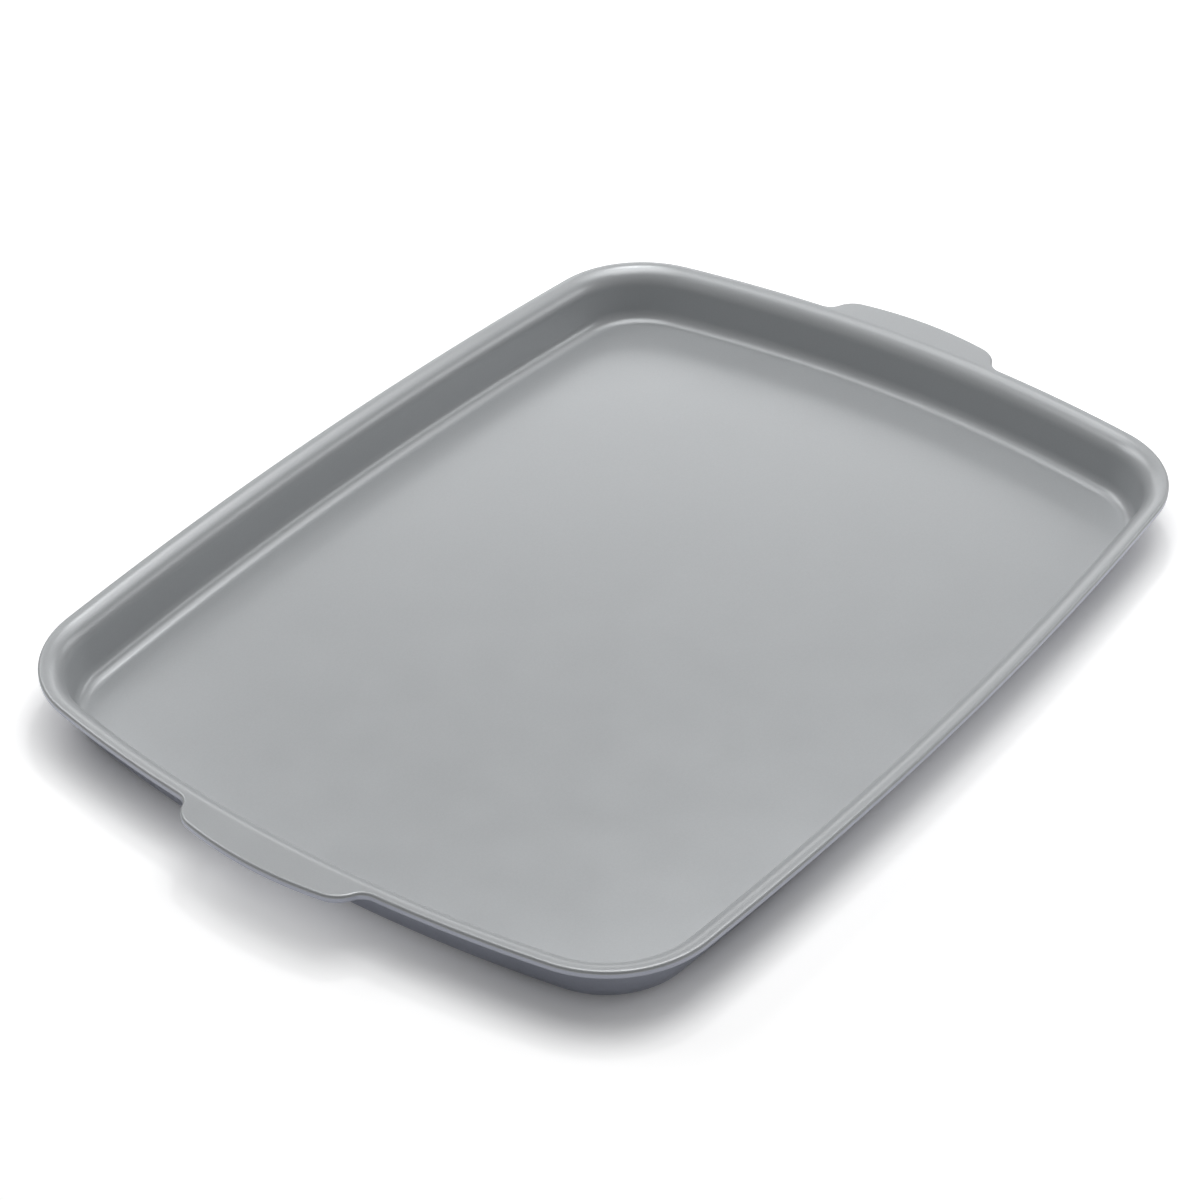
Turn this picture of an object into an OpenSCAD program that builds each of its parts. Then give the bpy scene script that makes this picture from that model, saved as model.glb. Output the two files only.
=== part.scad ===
// Jelly roll pan: one pressed steel sheet between two ceramic coats.
// The base stands on Z = 0, centred on the origin, with a handle tab at +X and one at -X.

/* [Outline] */
// Length over the rim at the middle of the ends, handles left out
rim_length = 457; // [380:1:540]
// Width over the rim at the middle of the long sides
rim_width = 339; // [280:1:400]
// Radius of the rim's corners
corner_radius = 50; // [42:1:58]
// How far each long side bows out at its middle
long_bow = 12.4; // [8:0.2:16]
// How far each end bows out at its middle
end_bow = 23; // [16:0.5:28]

/* [Section] */
// Depth from the top of the rim to the cooking floor
depth = 25.4; // [20:0.2:32]
// Slope of the wall, measured from the table
wall_angle = 82; // [68:0.5:86]
// Radius between the floor and the wall, on the cooking side
floor_fillet = 6.2; // [4:0.1:8]
// Radius of the rim's crown, on the cooking side
crown_radius = 9.3; // [5:0.1:10]
// Flat land between the crown and the turned-down edge
land_width = 0.4; // [0.2:0.1:2]
// Height of the turned-down edge, from the rim's top to its lowest point
edge_height = 3.7; // [3.5:0.1:5]
// Inside radius of the bend where the edge turns down
edge_bend = 0.2; // [0.1:0.05:0.6]
// Gap between the two legs of the hem at the foot of the edge
hem_gap = 0.3; // [0.2:0.05:0.6]
// Gap between the hem's cut end and the underside of the rim
hem_headroom = 0.6; // [0.3:0.1:0.8]

/* [Handles] */
// How far each handle tab stands out past the end of the rim
handle_reach = 12.9; // [11:0.1:16]
// How far a tab climbs from the rim's crest to the middle of its outer edge
handle_rise = 0.8; // [0.2:0.1:2]
// Distance between the centres of a tab's two outer corners
handle_span = 62; // [48:1:80]
// Radius of a tab's outer corners
handle_corner = 13; // [11:0.5:15]
// Radius of a tab's long outer edge
handle_edge_radius = 173; // [140:1:240]
// Radius of the hollow curve where a tab runs into the rim
handle_root = 7.2; // [5:0.1:9]

/* [Sheet] */
// Thickness of the steel sheet
steel_thickness = 0.8; // [0.6:0.05:1]
// Thickness of each ceramic coat
coat_thickness = 0.05; // [0.04:0.01:0.08]

/* [Hidden] */

steel_color = [0.55, 0.56, 0.58];
cooking_color = [0.60, 0.62, 0.63];
outer_color = [0.45, 0.46, 0.50];

// Steps in each bend of the section
fillet_steps = 3;
crown_steps = 4;
turn_steps = 2;
hem_steps = 3;

// Steps round each curve of the outline, in one quarter of it
edge_steps = 2;
tab_steps = 3;
root_steps = 3;
end_steps = 2;
corner_steps = 7;
long_steps = 4;

// Depths in the sheet, measured from the cooking side
sheet = steel_thickness + 2 * coat_thickness;
steel_top = coat_thickness;
steel_under = coat_thickness + steel_thickness;

// The section starts at d = 0 on the rim's outer face, and d grows inwards
rim_top = sheet + depth;
edge_radius = sheet + edge_bend;
crest = edge_radius + land_width;
bends = crown_radius + floor_fillet;
wall_run = (depth - bends * (1 - cos(wall_angle))) / tan(wall_angle);
floor_inset = crest + bends * sin(wall_angle) + wall_run;
hem_radius = sheet + hem_gap / 2;
hem_height = rim_top - edge_height + hem_radius;
leg_top = rim_top - sheet - hem_headroom;

// Places along the section, counted in steps from the floor to the hem's cut end
turn_end = fillet_steps + crown_steps + turn_steps + 2;
leg_end = turn_end + hem_steps + 2;

function unit(angle) = [cos(angle), sin(angle)];

// Radius of an arc from its half chord and its bow
function bow_radius(half, bow) = (half * half + bow * bow) / (2 * bow);

// Angle of the direction from a to b
function heading(a, b) = atan2(b[1] - a[1], b[0] - a[0]);

// Where two circles meet, on the left of the line from a to b
function meet(a, ra, b, rb) =
    let (gap = norm(b - a), along = (gap * gap + ra * ra - rb * rb) / (2 * gap))
    let (aside = sqrt(ra * ra - along * along), u = (b - a) / gap)
    a + along * u + aside * [-u[1], u[0]];

// The two bowed sides that meet at the corner in +X +Y, and the corner between them
long_radius = bow_radius(rim_length / 2, long_bow);
end_radius = bow_radius(rim_width / 2, end_bow);
long_centre = [0, rim_width / 2 - long_radius];
end_centre = [rim_length / 2 - end_radius, 0];
corner_centre = meet(end_centre, end_radius - corner_radius,
                     long_centre, long_radius - corner_radius);
long_turn = heading(long_centre, corner_centre);
end_turn = heading(end_centre, corner_centre);

// The tab's outline: a long edge, a corner, and a hollow curve into the rim
edge_centre = [rim_length / 2 + handle_reach - handle_edge_radius, 0];
tab_corner_x = sqrt(pow(handle_edge_radius - handle_corner, 2) - pow(handle_span / 2, 2));
tab_corner = edge_centre + [tab_corner_x, handle_span / 2];
root_centre = meet(end_centre, end_radius + handle_root,
                   tab_corner, handle_corner + handle_root);
edge_turn = heading(edge_centre, tab_corner);
root_turn = heading(tab_corner, root_centre);
handle_turn = heading(end_centre, root_centre);

// A line across the rim: where it starts on the outer face, and which way inwards is
function rim_line(centre, radius, angle) = [centre + radius * unit(angle), -unit(angle)];
function hollow_line(centre, radius, angle) = [centre + radius * unit(angle), unit(angle)];

// The line from a tab's edge is carried on across the rim behind it, at the same Y
function behind(line) =
    let (y = line[0][1] + edge_radius * line[1][1])
    rim_line(end_centre, end_radius, asin(y / (end_radius - crest)));

// Height that a tab has gained at its edge, in step with how far it stands out
function climb(line, wall) = handle_rise * norm(line[0] - wall[0]) / handle_reach;

// A station round the rim: the edge's line, the wall's line, and the edge's climb
function on_tab(line) = let (wall = behind(line)) [line, wall, climb(line, wall)];
function on_rim(line) = [line, line, 0];

// Angles from one end of an arc up to, and not including, the other
function sweep(from, to, steps) = [for (i = [0:steps - 1]) from + (to - from) * i / steps];

// Stations of the quarter in +X +Y, from the middle of the tab to the middle of the long side
quarter = [
    for (a = sweep(0, edge_turn, edge_steps))
        on_tab(rim_line(edge_centre, handle_edge_radius, a)),
    for (a = sweep(edge_turn, root_turn, tab_steps))
        on_tab(rim_line(tab_corner, handle_corner, a)),
    for (a = sweep(root_turn - 180, handle_turn - 180, root_steps))
        on_tab(hollow_line(root_centre, handle_root, a)),
    for (a = sweep(handle_turn, end_turn, end_steps))
        on_rim(rim_line(end_centre, end_radius, a)),
    for (a = sweep(end_turn, long_turn, corner_steps))
        on_rim(rim_line(corner_centre, corner_radius, a)),
    for (a = sweep(long_turn, 90, long_steps))
        on_rim(rim_line(long_centre, long_radius, a)),
    on_rim(rim_line(long_centre, long_radius, 90))
];

// A quarter's stations mirrored in X, in Y or in both
function flip(v, sx, sy) = [sx * v[0], sy * v[1]];
function flip_line(line, sx, sy) = [flip(line[0], sx, sy), flip(line[1], sx, sy)];
function flip_station(s, sx, sy) = [flip_line(s[0], sx, sy), flip_line(s[1], sx, sy), s[2]];

// All stations, anticlockwise from the middle of the tab at +X
last = len(quarter) - 1;
stations = [
    for (i = [0:last - 1]) quarter[i],
    for (i = [last:-1:1]) flip_station(quarter[i], -1, 1),
    for (i = [0:last - 1]) flip_station(quarter[i], -1, -1),
    for (i = [last:-1:1]) flip_station(quarter[i], 1, -1)
];

// One face of the sheet from the floor to the hem, at a depth below the cooking side.
// Each point is [d, z, whether it belongs to the edge].
function face(depth_in) = [
    for (i = [0:fillet_steps])
        let (a = wall_angle * i / fillet_steps, r = floor_fillet + depth_in)
        [floor_inset - r * sin(a), sheet + floor_fillet - r * cos(a), false],
    for (i = [crown_steps:-1:0])
        let (a = wall_angle * i / crown_steps, r = crown_radius - depth_in)
        [crest + r * sin(a), rim_top - crown_radius + r * cos(a), false],
    for (i = [0:turn_steps])
        let (a = 90 * i / turn_steps, r = edge_radius - depth_in)
        [edge_radius - r * sin(a), rim_top - edge_radius + r * cos(a), true],
    for (i = [0:hem_steps])
        let (a = 180 * i / hem_steps, r = hem_radius - depth_in)
        [hem_radius - r * cos(a), hem_height - r * sin(a), true],
    [2 * hem_radius - depth_in, leg_top, true],
    [2 * hem_radius - depth_in, leg_top + coat_thickness, true]
];

// Steps of a face in order, each with its place along the section
function run(depth_in, from, to) =
    let (points = face(depth_in), way = (to < from) ? -1 : 1)
    [for (k = [from:way:to]) [points[k], k]];

// Where a point of the section comes to lie at a station
function place(station, p) =
    let (line = p[2] ? station[0] : station[1], at = line[0] + p[0] * line[1])
    [at[0], at[1], p[1] + (p[2] ? station[2] : 0)];

// Carries a section round all stations and closes it with two flat floor faces.
// A four-sided patch is always cut along the same diagonal of the sheet.
module press(section) {
    n = len(stations);
    m = len(section);
    polyhedron(
        points = [for (k = section, s = stations) place(s, k[0])],
        faces = [
            [0, for (i = [n - 1:-1:1]) i],
            for (k = [0:m - 2], i = [0:n - 1])
                let (j = (i + 1) % n, a = k * n + i, b = k * n + j, c = b + n, d = a + n)
                let (outwards = section[k][1] <= section[k + 1][1])
                each outwards ? [[a, b, c], [a, c, d]] : [[a, b, d], [b, c, d]],
            [for (i = [0:n - 1]) (m - 1) * n + i]
        ]
    );
}

module steel_sheet()
    color(steel_color)
        press(concat(
            run(steel_top, 0, leg_end - 1),
            run(steel_under, leg_end - 1, 0)
        ));

module cooking_coat()
    color(cooking_color)
        press(concat(
            run(0, 0, turn_end),
            run(steel_top, turn_end, 0)
        ));

// Under the steel to the hem's cut end, back over the edge's face, then round the outside
module outer_coat()
    color(outer_color)
        press(concat(
            run(steel_under, 0, leg_end - 1),
            run(steel_top, leg_end - 1, turn_end),
            run(0, turn_end, leg_end),
            run(sheet, leg_end, 0)
        ));

steel_sheet();
cooking_coat();
outer_coat();
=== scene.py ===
"""Jelly roll pan: smooth surfaces for the sheet and its two coats, the camera and the studio."""
import math

import bpy
import numpy as np
from mathutils import Matrix, Vector


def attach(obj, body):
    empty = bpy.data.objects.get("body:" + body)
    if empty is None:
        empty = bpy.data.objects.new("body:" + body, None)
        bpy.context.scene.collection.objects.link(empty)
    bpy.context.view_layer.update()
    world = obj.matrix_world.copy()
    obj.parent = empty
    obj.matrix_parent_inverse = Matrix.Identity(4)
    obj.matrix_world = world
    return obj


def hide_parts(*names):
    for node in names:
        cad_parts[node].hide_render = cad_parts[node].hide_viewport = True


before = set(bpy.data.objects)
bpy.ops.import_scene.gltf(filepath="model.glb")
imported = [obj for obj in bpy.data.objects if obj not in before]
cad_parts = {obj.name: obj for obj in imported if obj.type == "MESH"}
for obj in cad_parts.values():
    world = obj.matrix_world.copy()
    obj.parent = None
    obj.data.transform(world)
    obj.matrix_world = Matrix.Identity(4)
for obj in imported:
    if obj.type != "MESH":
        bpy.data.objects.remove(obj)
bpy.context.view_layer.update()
MM = 0.001

# Sizes, in millimetres
RIM_LENGTH, RIM_WIDTH, CORNER_RADIUS = 457.0, 339.0, 50.0
LONG_BOW, END_BOW = 12.4, 23.0
DEPTH, WALL_ANGLE, FLOOR_FILLET, CROWN_RADIUS = 25.4, math.radians(82), 6.2, 9.3
LAND_WIDTH, EDGE_HEIGHT, EDGE_BEND = 0.4, 3.7, 0.2
HEM_GAP, HEM_HEADROOM = 0.3, 0.6
HANDLE_REACH, HANDLE_RISE, HANDLE_SPAN = 12.9, 0.8, 62.0
HANDLE_CORNER, HANDLE_EDGE_RADIUS, HANDLE_ROOT = 13.0, 173.0, 7.2
STEEL, COAT = 0.8, 0.05

SHEET = STEEL + 2 * COAT
RIM_TOP = SHEET + DEPTH
EDGE_RADIUS = SHEET + EDGE_BEND
CREST = EDGE_RADIUS + LAND_WIDTH
BENDS = CROWN_RADIUS + FLOOR_FILLET
WALL_RUN = (DEPTH - BENDS * (1 - math.cos(WALL_ANGLE))) / math.tan(WALL_ANGLE)
FLOOR_INSET = CREST + BENDS * math.sin(WALL_ANGLE) + WALL_RUN
HEM_RADIUS = SHEET + HEM_GAP / 2
HEM_HEIGHT = RIM_TOP - EDGE_HEIGHT + HEM_RADIUS
LEG_TOP = RIM_TOP - SHEET - HEM_HEADROOM

# Steps round each curve of the outline, in one quarter of it
EDGE_STEPS, TAB_STEPS, ROOT_STEPS = 8, 8, 9
END_STEPS, CORNER_STEPS, LONG_STEPS = 9, 22, 18

# Steps in each bend of the section
FILLET_STEPS, CROWN_STEPS, TURN_STEPS, HEM_STEPS = 8, 12, 6, 8

# How far from a bend the next row of points lies on a straight stretch, and at most what share of it
SUPPORT, WALL_SUPPORT, MOST_SUPPORT = 0.12, 0.4, 0.4

# The two ends of the land, as shares of the way from the wall's line to the edge's line
LAND_START, LAND_END = 0.04, 0.96

# Rings that close the floor, as shares of the ring where the fillet starts
FLOOR_RINGS = [0.995, 0.93, 0.8, 0.62, 0.42, 0.22, 0.08]
SHARP_ANGLE = math.radians(42)


def unit(angle):
    return np.array([math.cos(angle), math.sin(angle)])


def heading(a, b):
    return math.atan2(b[1] - a[1], b[0] - a[0])


def bow_radius(half, bow):
    return (half * half + bow * bow) / (2 * bow)


def meet(a, ra, b, rb):
    """Where two circles meet, on the left of the line from a to b."""
    gap = np.hypot(*(b - a))
    along = (gap * gap + ra * ra - rb * rb) / (2 * gap)
    aside = math.sqrt(ra * ra - along * along)
    u = (b - a) / gap
    return a + along * u + aside * np.array([-u[1], u[0]])


# Outline: the two bowed sides, the corner between them, and the tab at the end's middle
long_radius = bow_radius(RIM_LENGTH / 2, LONG_BOW)
end_radius = bow_radius(RIM_WIDTH / 2, END_BOW)
long_centre = np.array([0, RIM_WIDTH / 2 - long_radius])
end_centre = np.array([RIM_LENGTH / 2 - end_radius, 0])
corner_centre = meet(end_centre, end_radius - CORNER_RADIUS,
                     long_centre, long_radius - CORNER_RADIUS)
long_turn = heading(long_centre, corner_centre)
end_turn = heading(end_centre, corner_centre)

edge_centre = np.array([RIM_LENGTH / 2 + HANDLE_REACH - HANDLE_EDGE_RADIUS, 0])
tab_corner_x = math.sqrt((HANDLE_EDGE_RADIUS - HANDLE_CORNER) ** 2 - (HANDLE_SPAN / 2) ** 2)
tab_corner = edge_centre + np.array([tab_corner_x, HANDLE_SPAN / 2])
root_centre = meet(end_centre, end_radius + HANDLE_ROOT,
                   tab_corner, HANDLE_CORNER + HANDLE_ROOT)
edge_turn = heading(edge_centre, tab_corner)
root_turn = heading(tab_corner, root_centre)
handle_turn = heading(end_centre, root_centre)


def rim_line(centre, radius, angle, hollow=False):
    """Where a line across the rim starts, and which way inwards is."""
    return np.concatenate([centre + radius * unit(angle), unit(angle) * (1 if hollow else -1)])


def behind(line):
    """The wall's line behind a tab: the edge's line carried on across the rim at the same Y."""
    y = line[1] + EDGE_RADIUS * line[3]
    return rim_line(end_centre, end_radius, math.asin(y / (end_radius - CREST)))


def on_tab(line):
    """A station on a tab: the edge's line, the wall's line, and how far the edge has climbed."""
    wall = behind(line)
    rise = HANDLE_RISE * np.hypot(*(line[:2] - wall[:2])) / HANDLE_REACH
    return np.concatenate([line, wall, [rise]])


def on_rim(line):
    return np.concatenate([line, line, [0.0]])


def sweep(start, stop, steps):
    """Angles from one end of an arc up to, and not including, the other."""
    return [start + (stop - start) * i / steps for i in range(steps)]


# Stations of one quarter, from the middle of the tab to the middle of the long side
quarter = [on_tab(rim_line(edge_centre, HANDLE_EDGE_RADIUS, a))
           for a in sweep(0, edge_turn, EDGE_STEPS)]
quarter += [on_tab(rim_line(tab_corner, HANDLE_CORNER, a))
            for a in sweep(edge_turn, root_turn, TAB_STEPS)]
quarter += [on_tab(rim_line(root_centre, HANDLE_ROOT, a, True))
            for a in sweep(root_turn - math.pi, handle_turn - math.pi, ROOT_STEPS)]
quarter += [on_rim(rim_line(end_centre, end_radius, a))
            for a in sweep(handle_turn, end_turn, END_STEPS)]
quarter += [on_rim(rim_line(corner_centre, CORNER_RADIUS, a))
            for a in sweep(end_turn, long_turn, CORNER_STEPS)]
quarter += [on_rim(rim_line(long_centre, long_radius, a))
            for a in sweep(long_turn, math.pi / 2, LONG_STEPS)]
quarter += [on_rim(rim_line(long_centre, long_radius, math.pi / 2))]
quarter = np.array(quarter)


def mirrored(rows, sx, sy):
    return rows * np.array([sx, sy] * 4 + [1])


STATIONS = np.concatenate([
    quarter[:-1], mirrored(quarter[:0:-1], -1, 1),
    mirrored(quarter[:-1], -1, -1), mirrored(quarter[:0:-1], 1, -1)])


def between(a, b, near=SUPPORT):
    """Two rows of points on a straight stretch, close to its two ends."""
    a, b = np.array(a), np.array(b)
    t = min(near / np.hypot(*(b[:2] - a[:2])), MOST_SUPPORT)
    return [a + (b - a) * t, b + (a - b) * t]


def face(o):
    """The sheet's face at depth o below the cooking side, and the row where its edge's turn ends.

    Each row is d, z and its share of the way from the wall's line to the edge's line.
    """
    rows = []
    for i in range(FILLET_STEPS + 1):
        a, r = WALL_ANGLE * i / FILLET_STEPS, FLOOR_FILLET + o
        rows.append([FLOOR_INSET - r * math.sin(a), SHEET + FLOOR_FILLET - r * math.cos(a), 0])
    crown = []
    for i in range(CROWN_STEPS, -1, -1):
        a, r = WALL_ANGLE * i / CROWN_STEPS, CROWN_RADIUS - o
        crown.append([CREST + r * math.sin(a), RIM_TOP - CROWN_RADIUS + r * math.cos(a), 0])
    rows += between(rows[-1], crown[0], WALL_SUPPORT) + crown
    rows += [[CREST, RIM_TOP - o, LAND_START], [EDGE_RADIUS, RIM_TOP - o, LAND_END]]
    for i in range(TURN_STEPS + 1):
        a, r = math.pi / 2 * i / TURN_STEPS, EDGE_RADIUS - o
        rows.append([EDGE_RADIUS - r * math.sin(a), RIM_TOP - EDGE_RADIUS + r * math.cos(a), 1])
    turn_end = len(rows) - 1
    hem = []
    for i in range(HEM_STEPS + 1):
        a, r = math.pi * i / HEM_STEPS, HEM_RADIUS - o
        hem.append([HEM_RADIUS - r * math.cos(a), HEM_HEIGHT - r * math.sin(a), 1])
    rows += between(rows[-1], hem[0]) + hem
    leg = [2 * HEM_RADIUS - o, LEG_TOP, 1]
    rows += between(rows[-1], leg) + [leg, [2 * HEM_RADIUS - o, LEG_TOP + COAT, 1]]
    return np.array(rows, float), turn_end


cooking_face, TURN_END = face(0)
LEG_END = len(cooking_face) - 1


def run(o, start, stop):
    """The rows of a face in order, from one place along the section to another."""
    rows = face(o)[0]
    way = -1 if stop < start else 1
    return [rows[k] for k in range(start, stop + way, way)]


def place(row):
    """The ring of points that a row of the section makes round all stations, in metres."""
    d, z, share = row
    wall_d, edge_d = (CREST, EDGE_RADIUS) if 0 < share < 1 else (d, d)
    edge = STATIONS[:, 0:2] + edge_d * STATIONS[:, 2:4]
    wall = STATIONS[:, 4:6] + wall_d * STATIONS[:, 6:8]
    xy = wall * (1 - share) + edge * share
    return np.column_stack([xy, z + share * STATIONS[:, 8]]) * MM


def add_object(name, data):
    thing = bpy.data.objects.new(name, data)
    bpy.context.scene.collection.objects.link(thing)
    return thing


def press(name, section, node, material):
    """A closed surface: the section carried round all stations, and rings across the floor."""
    rings = [place(r) for r in section]
    first, last = rings[0], rings[-1]
    rings = ([first * [s, s, 1] for s in reversed(FLOOR_RINGS)] + rings
             + [last * [s, s, 1] for s in FLOOR_RINGS])
    n, m = len(STATIONS), len(rings)
    verts = np.concatenate(rings)
    i = np.arange(n)
    j = (i + 1) % n
    quads = np.concatenate([
        np.column_stack([k * n + i, (k + 1) * n + i, (k + 1) * n + j, k * n + j])
        for k in range(m - 1)])
    faces = quads.tolist() + [list(range(n)), [(m - 1) * n + k for k in range(n - 1, -1, -1)]]
    mesh = bpy.data.meshes.new(name)
    mesh.from_pydata(verts.tolist(), [], faces)
    mesh.update()
    mesh.polygons.foreach_set("use_smooth", [True] * len(mesh.polygons))
    mesh.set_sharp_from_angle(angle=SHARP_ANGLE)
    mesh.materials.append(material)
    piece = add_object(name, mesh)
    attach(piece, "root")
    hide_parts(node)


# Noise sizes, in cells per metre
CLOUD_SCALE, SHEEN_SCALE, FLECK_SCALE = 14.0, 40.0, 1500.0
RIPPLE_SCALE, ROLL_SCALE = 900.0, 900.0
# Octaves of a cloudy, a rippled and a plain noise, and the range that most of a noise's values fill
CLOUDY, RIPPLED, PLAIN = 3.0, 2.0, 1.0
NOISE_LOW, NOISE_HIGH = 0.3, 0.7
# The coats: share of the lighter tone in the clouds, how far a fleck moves it, and the spray's ripple
CLOUD_LOW, CLOUD_HIGH, FLECK = 0.35, 0.65, 0.3
COAT_ROUGH_LOW, COAT_ROUGH_HIGH = 0.285, 0.32
RIPPLE_STRENGTH, RIPPLE_DEPTH = 0.25, 0.00002
COOKING_DARK, COOKING_LIGHT, COOKING_METALLIC = (0.437, 0.453, 0.466), (0.467, 0.483, 0.496), 0.2
OUTER_DARK, OUTER_LIGHT, OUTER_METALLIC = (0.395, 0.415, 0.485), (0.435, 0.455, 0.525), 0.42
# The bare steel: its lines are stretched along X, the rolling direction
ROLL_STRETCH = (0.03, 1.0, 1.0)
STEEL_DARK, STEEL_LIGHT = (0.46, 0.47, 0.49), (0.62, 0.63, 0.65)
STEEL_ROUGH_LOW, STEEL_ROUGH_HIGH = 0.28, 0.42
WHITE = (1, 1, 1, 1)
# Sockets of a Mix node that mixes colours
COLOR_A, COLOR_B, COLOR_RESULT = 6, 7, 2


def node_material(name):
    mat = bpy.data.materials.new(name)
    mat.use_nodes = True
    tree = mat.node_tree
    shader = tree.nodes["Principled BSDF"]
    where = tree.nodes.new("ShaderNodeTexCoord").outputs["Object"]
    return mat, tree, shader, where


def math_node(tree, operation, *values):
    """A Math node fed by numbers and by other nodes' sockets."""
    node = tree.nodes.new("ShaderNodeMath")
    node.operation = operation
    for socket, value in zip(node.inputs, values):
        if isinstance(value, (int, float)):
            socket.default_value = value
        else:
            tree.links.new(value, socket)
    return node.outputs["Value"]


def noise(tree, where, scale, detail):
    tex = tree.nodes.new("ShaderNodeTexNoise")
    tex.inputs["Scale"].default_value = scale
    tex.inputs["Detail"].default_value = detail
    tree.links.new(where, tex.inputs["Vector"])
    return tex.outputs["Fac"]


def spread(tree, value, low, high, to_low, to_high):
    """Maps low to to_low and high to to_high, and holds those beyond them."""
    node = tree.nodes.new("ShaderNodeMapRange")
    node.inputs["From Min"].default_value = low
    node.inputs["From Max"].default_value = high
    node.inputs["To Min"].default_value = to_low
    node.inputs["To Max"].default_value = to_high
    tree.links.new(value, node.inputs["Value"])
    return node.outputs["Result"]


def mixed(tree, share, a, b):
    node = tree.nodes.new("ShaderNodeMix")
    node.data_type = "RGBA"
    tree.links.new(share, node.inputs["Factor"])
    node.inputs[COLOR_A].default_value = (*a, 1)
    node.inputs[COLOR_B].default_value = (*b, 1)
    return node.outputs[COLOR_RESULT]


def coat_material(name, dark, light, metallic):
    """A sprayed ceramic coat: cloudy tone, a fine fleck, and the slight ripple of a sprayed film."""
    mat, tree, shader, where = node_material(name)
    clouds = noise(tree, where, CLOUD_SCALE, CLOUDY)
    flecks = noise(tree, where, FLECK_SCALE, PLAIN)
    sheen = noise(tree, where, SHEEN_SCALE, CLOUDY)
    tone = math_node(tree, "ADD",
                     spread(tree, flecks, NOISE_LOW, NOISE_HIGH, -FLECK, FLECK),
                     spread(tree, clouds, NOISE_LOW, NOISE_HIGH, CLOUD_LOW, CLOUD_HIGH))
    tree.links.new(mixed(tree, tone, dark, light), shader.inputs["Base Color"])
    tree.links.new(spread(tree, sheen, NOISE_LOW, NOISE_HIGH, COAT_ROUGH_LOW, COAT_ROUGH_HIGH),
                   shader.inputs["Roughness"])
    shader.inputs["Metallic"].default_value = metallic
    ripple = tree.nodes.new("ShaderNodeBump")
    ripple.inputs["Strength"].default_value = RIPPLE_STRENGTH
    ripple.inputs["Distance"].default_value = RIPPLE_DEPTH
    tree.links.new(noise(tree, where, RIPPLE_SCALE, RIPPLED), ripple.inputs["Height"])
    tree.links.new(ripple.outputs["Normal"], shader.inputs["Normal"])
    return mat


def steel_material():
    """Cold-rolled sheet: fine lines along the rolling direction."""
    mat, tree, shader, where = node_material("rolled_steel")
    stretch = tree.nodes.new("ShaderNodeMapping")
    stretch.inputs["Scale"].default_value = ROLL_STRETCH
    tree.links.new(where, stretch.inputs["Vector"])
    lines = noise(tree, stretch.outputs["Vector"], ROLL_SCALE, CLOUDY)
    tree.links.new(mixed(tree, lines, STEEL_DARK, STEEL_LIGHT), shader.inputs["Base Color"])
    tree.links.new(spread(tree, lines, NOISE_LOW, NOISE_HIGH, STEEL_ROUGH_LOW, STEEL_ROUGH_HIGH),
                   shader.inputs["Roughness"])
    shader.inputs["Metallic"].default_value = 1.0
    return mat


cooking = coat_material("ceramic_light", COOKING_DARK, COOKING_LIGHT, COOKING_METALLIC)
outer = coat_material("ceramic_bluish", OUTER_DARK, OUTER_LIGHT, OUTER_METALLIC)
steel = steel_material()

# Each section runs out along one face of its piece and back along the other
steel_section = run(COAT, 0, LEG_END - 1) + run(COAT + STEEL, LEG_END - 1, 0)
cooking_section = run(0, 0, TURN_END) + run(COAT, TURN_END, 0)
outer_section = (run(COAT + STEEL, 0, LEG_END - 1) + run(COAT, LEG_END - 1, TURN_END)
                 + run(0, TURN_END, LEG_END) + run(SHEET, LEG_END, 0))
press("steel_core", steel_section, "steel_sheet", steel)
press("cooking_surface", cooking_section, "cooking_coat", cooking)
press("outer_surface", outer_section, "outer_coat", outer)

# Camera: the directions in degrees, then its shifts and its distance in metres, its lens in millimetres
CAMERA_AZIMUTH, CAMERA_ELEVATION, CAMERA_ROLL = map(math.radians, (-53.643, 36.667, 0.367))
CAMERA_SHIFT_RIGHT, CAMERA_SHIFT_UP, CAMERA_DISTANCE = 0.01151, -0.00397, 1.30845
CAMERA_LENS, SENSOR_WIDTH = 91.19, 36.0

back = Vector((math.sin(CAMERA_AZIMUTH) * math.cos(CAMERA_ELEVATION),
               -math.cos(CAMERA_AZIMUTH) * math.cos(CAMERA_ELEVATION),
               math.sin(CAMERA_ELEVATION)))
level = Vector((0, 0, 1)).cross(back).normalized()
above = back.cross(level)
right = level * math.cos(CAMERA_ROLL) + above * math.sin(CAMERA_ROLL)
up = above * math.cos(CAMERA_ROLL) - level * math.sin(CAMERA_ROLL)
turn = Matrix((right, up, back)).transposed()
spot = turn @ Vector((-CAMERA_SHIFT_RIGHT, -CAMERA_SHIFT_UP, CAMERA_DISTANCE))
spot.z += SHEET * MM
camera_data = bpy.data.cameras.new("camera")
camera_data.sensor_width = SENSOR_WIDTH
camera_data.lens = CAMERA_LENS
camera = add_object("camera", camera_data)
camera.matrix_world = Matrix.Translation(spot) @ turn.to_4x4()
bpy.context.scene.camera = camera

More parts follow.
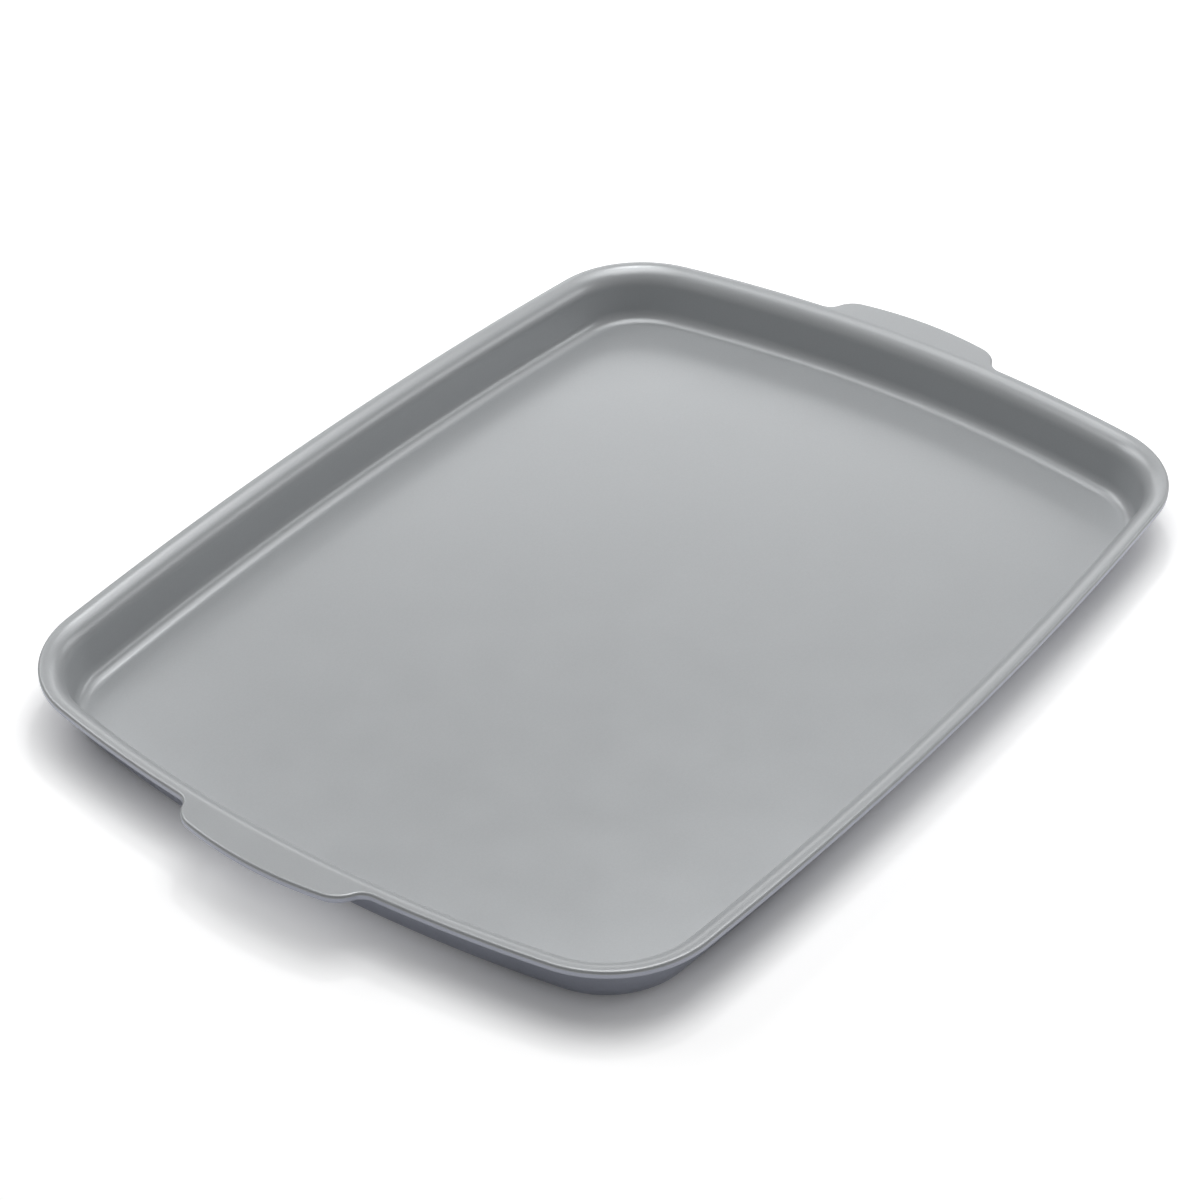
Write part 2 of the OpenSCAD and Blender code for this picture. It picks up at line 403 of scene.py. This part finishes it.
# Studio: six softboxes over and behind the pan, and almost nothing on the camera's side.
# Name, width and height in metres, place of its middle in metres, and power in watts.
SOFTBOXES = [
    ("key_overhead", 0.20, 0.20, (0.99, 0.57, 2.03), 4.5),
    ("broad_overhead", 1.20, 1.20, (0.20, 0.10, 1.60), 8.7),
    ("soft_overhead", 0.90, 1.00, (0.50, 0.00, 1.30), 4.5),
    ("card_behind", 1.00, 0.35, (1.03, 0.75, 0.59), 1.9),
    ("card_left", 1.00, 0.50, (0.00, 0.99, 0.99), 4.2),
    ("card_right", 1.00, 0.35, (1.10, -0.63, 0.59), 2.4),
]
for name, width, height, middle, power in SOFTBOXES:
    data = bpy.data.lights.new(name, "AREA")
    data.shape = "RECTANGLE"
    data.size, data.size_y = width, height
    data.energy = power
    lamp = add_object(name, data)
    lamp.location = middle
    lamp.rotation_mode = "QUATERNION"
    lamp.rotation_quaternion = (-lamp.location).to_track_quat("-Z", "Y")

# The camera sees a white world, reflections see a grey one, and the pan is lit by a dim one
SKY_LEVEL, SKY_REFLECTED = 0.04, 0.4
world = bpy.data.worlds.new("studio")
world.use_nodes = True
sky = world.node_tree
background = sky.nodes["Background"]
background.inputs["Color"].default_value = WHITE
sky_rays = sky.nodes.new("ShaderNodeLightPath")
mirrored_sky = math_node(sky, "MULTIPLY", sky_rays.outputs["Is Glossy Ray"], SKY_REFLECTED)
lit_sky = math_node(sky, "MAXIMUM", mirrored_sky, SKY_LEVEL)
sky.links.new(math_node(sky, "MAXIMUM", sky_rays.outputs["Is Camera Ray"], lit_sky),
              background.inputs["Strength"])
bpy.context.scene.world = world

# The ground glows for the camera and for reflections: painted light, which the pan's edges also mirror.
# The glow is left off under the pan and fades in along the rim's outline, so the dim ground there is
# real shadow plus painted shade in the pan's shape.
# Farther out, where the lamps fade, the camera sees it as white as the world.
GROUND_HALF, GROUND_GLOW = 6.0, 0.42
GLOW_START, GLOW_FULL = 0.88, 1.03
WHITE_START, WHITE_FULL = 1.2, 3.0
SQUARENESS = 7
GROUND_COLOR, GROUND_ROUGHNESS, GROUND_SPECULAR = (0.93, 0.93, 0.93, 1), 0.9, 0.1


def rim_share(tree, where):
    """How far out a place on the ground lies: 1 under the rim's edge, less under the pan."""
    axes = tree.nodes.new("ShaderNodeSeparateXYZ")
    tree.links.new(where, axes.inputs["Vector"])
    powers = []
    for axis, length in (("X", RIM_LENGTH), ("Y", RIM_WIDTH)):
        out = math_node(tree, "ABSOLUTE", axes.outputs[axis])
        share = math_node(tree, "DIVIDE", out, length / 2 * MM)
        powers.append(math_node(tree, "POWER", share, SQUARENESS))
    return math_node(tree, "POWER", math_node(tree, "ADD", *powers), 1 / SQUARENESS)


corners = [(x * GROUND_HALF, y * GROUND_HALF, 0) for x, y in ((-1, -1), (1, -1), (1, 1), (-1, 1))]
ground_mesh = bpy.data.meshes.new("ground")
ground_mesh.from_pydata(corners, [], [(0, 1, 2, 3)])
ground = add_object("ground", ground_mesh)
pale, tree, shader, where = node_material("pale_ground")
shader.inputs["Base Color"].default_value = GROUND_COLOR
shader.inputs["Roughness"].default_value = GROUND_ROUGHNESS
shader.inputs["Specular IOR Level"].default_value = GROUND_SPECULAR
shader.inputs["Emission Color"].default_value = WHITE
rays = tree.nodes.new("ShaderNodeLightPath")
shown = math_node(tree, "MAXIMUM", rays.outputs["Is Camera Ray"], rays.outputs["Is Glossy Ray"])
outwards = rim_share(tree, where)
# Painted glow: none under the pan, full just past the rim's edge, so its edge paints the shade's
# outline
painted_glow = spread(tree, outwards, GLOW_START, GLOW_FULL, 0.0, GROUND_GLOW)
near_glow = math_node(tree, "MULTIPLY", shown, painted_glow)
white = spread(tree, outwards, WHITE_START, WHITE_FULL, 0.0, 1.0)
far_glow = math_node(tree, "MULTIPLY", rays.outputs["Is Camera Ray"], white)
tree.links.new(math_node(tree, "MAXIMUM", near_glow, far_glow), shader.inputs["Emission Strength"])
ground_mesh.materials.append(pale)

bpy.context.scene.view_settings.view_transform = "Standard"
